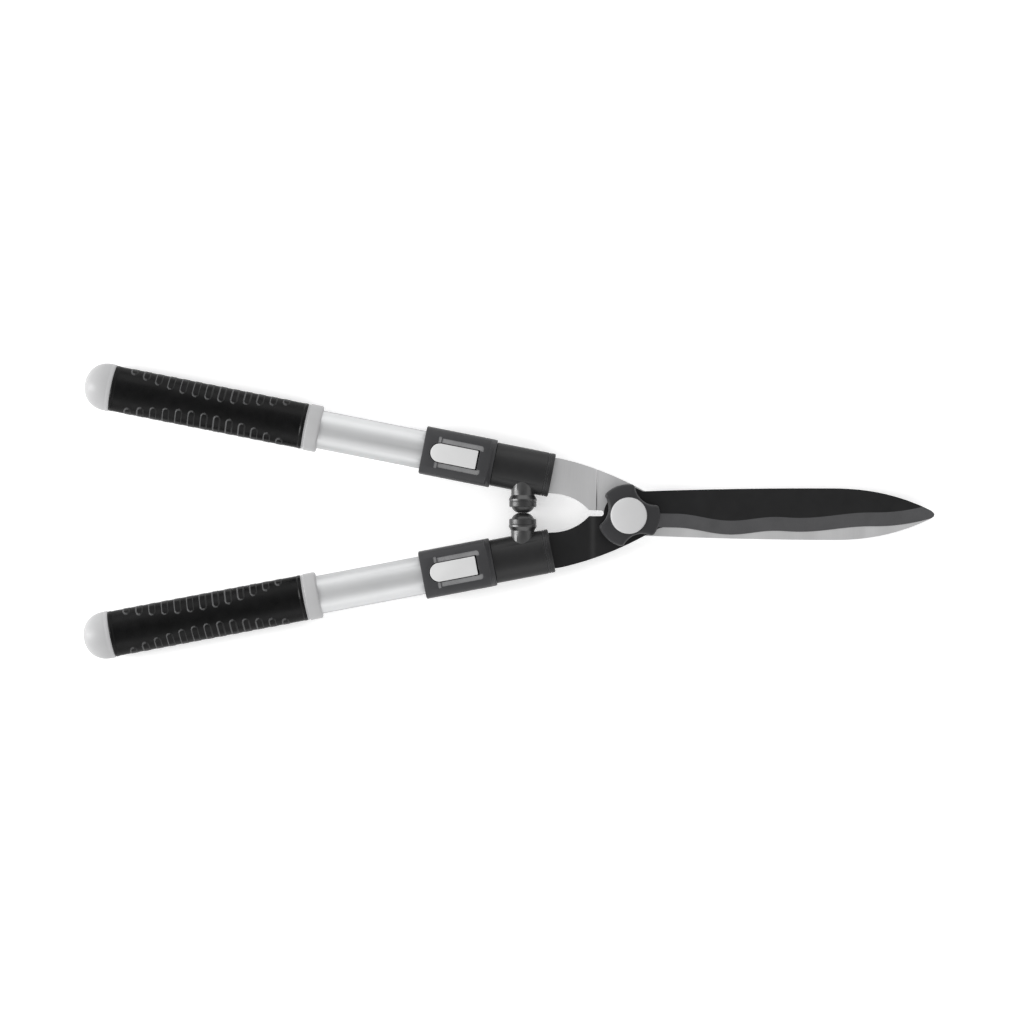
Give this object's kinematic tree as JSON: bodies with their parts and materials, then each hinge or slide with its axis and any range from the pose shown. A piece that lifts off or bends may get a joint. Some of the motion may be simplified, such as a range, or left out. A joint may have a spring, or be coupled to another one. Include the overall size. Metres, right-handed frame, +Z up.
{
  "type": "telescopic hedge shears",
  "caption": "Hand shears for hedges with crossing wavy blades, a lobed pivot knob, stop bumpers and pull-out oval tube handles with flip-lever clamps and soft grips.",
  "frame": {"origin": "on the pivot axis, at the flat underside of the pivot bolt's head, in the plane the shears lie on", "axes": "+X runs from the pivot to the blade tips along the closed blades, +Y towards the left handle, +Z up through the knob"},
  "size_m": [0.6886, 0.239, 0.0344],
  "materials": {
    "blade_steel": "ground and lightly brushed",
    "black_coating": "satin black non-stick coating",
    "zinc_steel": "zinc plated",
    "aluminium": "satin anodised",
    "dark_plastic": "fine moulded grain",
    "light_plastic": "satin light grey",
    "guide_plastic": "natural, slightly translucent",
    "grip_rubber": "soft, satin",
    "bumper_rubber": "smooth"
  },
  "bodies": {
    "left_arm": {"bottom_blade": "blade_steel", "pivot_bolt": "zinc_steel", "pivot_washer": "zinc_steel", "left_socket": "dark_plastic", "left_bumper": "bumper_rubber", "left_inner_tube": "aluminium", "left_tube_guide": "guide_plastic", "left_socket_screws": "zinc_steel"},
    "right_arm": {"top_blade": "black_coating", "right_socket": "dark_plastic", "right_bumper": "bumper_rubber", "right_inner_tube": "aluminium", "right_tube_guide": "guide_plastic", "right_socket_screws": "zinc_steel"},
    "spring": {"spring_washer": "zinc_steel"},
    "knob": {"knob": "dark_plastic", "knob_nut": "zinc_steel", "knob_cap": "light_plastic"},
    "left_handle": {"left_outer_tube": "aluminium", "left_lock_housing": "dark_plastic", "left_housing_screws": "zinc_steel", "left_lever_pin": "zinc_steel", "left_collar": "light_plastic", "left_grip": "grip_rubber", "left_end_cap": "light_plastic"},
    "left_lever": {"left_lock_lever": "light_plastic"},
    "left_brake": {"left_brake_shoe": "bumper_rubber"},
    "right_handle": {"right_outer_tube": "aluminium", "right_lock_housing": "dark_plastic", "right_housing_screws": "zinc_steel", "right_lever_pin": "zinc_steel", "right_collar": "light_plastic", "right_grip": "grip_rubber", "right_end_cap": "light_plastic"},
    "right_lever": {"right_lock_lever": "light_plastic"},
    "right_brake": {"right_brake_shoe": "bumper_rubber"}
  },
  "joints": [
    {"name": "blade_pivot", "type": "hinge", "parent": "left_arm", "child": "right_arm", "pos_m": [0, 0, 0.0125], "axis": [0, 0, 1], "range_deg": [0, 60]},
    {"name": "knob_lift", "type": "slide", "parent": "left_arm", "child": "spring", "axis": [0, 0, 1], "range_m": [0, 0.00063]},
    {"name": "knob_turn", "type": "hinge", "parent": "spring", "child": "knob", "pos_m": [0, 0, 0.0169], "axis": [0, 0, 1], "range_deg": [0, 180]},
    {"name": "left_extension", "type": "slide", "parent": "left_arm", "child": "left_handle", "axis": [-0.9816, 0.1908, 0], "range_m": [0, 0.2]},
    {"name": "left_clamp", "type": "hinge", "parent": "left_handle", "child": "left_lever", "pos_m": [-0.12624, 0.04479, 0.0287], "axis": [0.1908, 0.9816, 0], "range_deg": [0, 90]},
    {"name": "left_brake_lift", "type": "slide", "parent": "left_handle", "child": "left_brake", "axis": [0, 0, 1], "range_m": [0, 0.0004]},
    {"name": "right_extension", "type": "slide", "parent": "right_arm", "child": "right_handle", "axis": [-0.9816, -0.1908, 0], "range_m": [0, 0.2]},
    {"name": "right_clamp", "type": "hinge", "parent": "right_handle", "child": "right_lever", "pos_m": [-0.12624, -0.04119, 0.0287], "axis": [-0.1908, 0.9816, 0], "range_deg": [0, 90]},
    {"name": "right_brake_lift", "type": "slide", "parent": "right_handle", "child": "right_brake", "axis": [0, 0, 1], "range_m": [0, 0.0004]}
  ],
  "couplings": [
    {"joint": "knob_lift", "follows": "knob_turn", "m_per_rad": 0.0002},
    {"joint": "left_brake_lift", "follows": "left_clamp", "m_per_rad": 0.00025},
    {"joint": "right_brake_lift", "follows": "right_clamp", "m_per_rad": 0.00025}
  ]
}
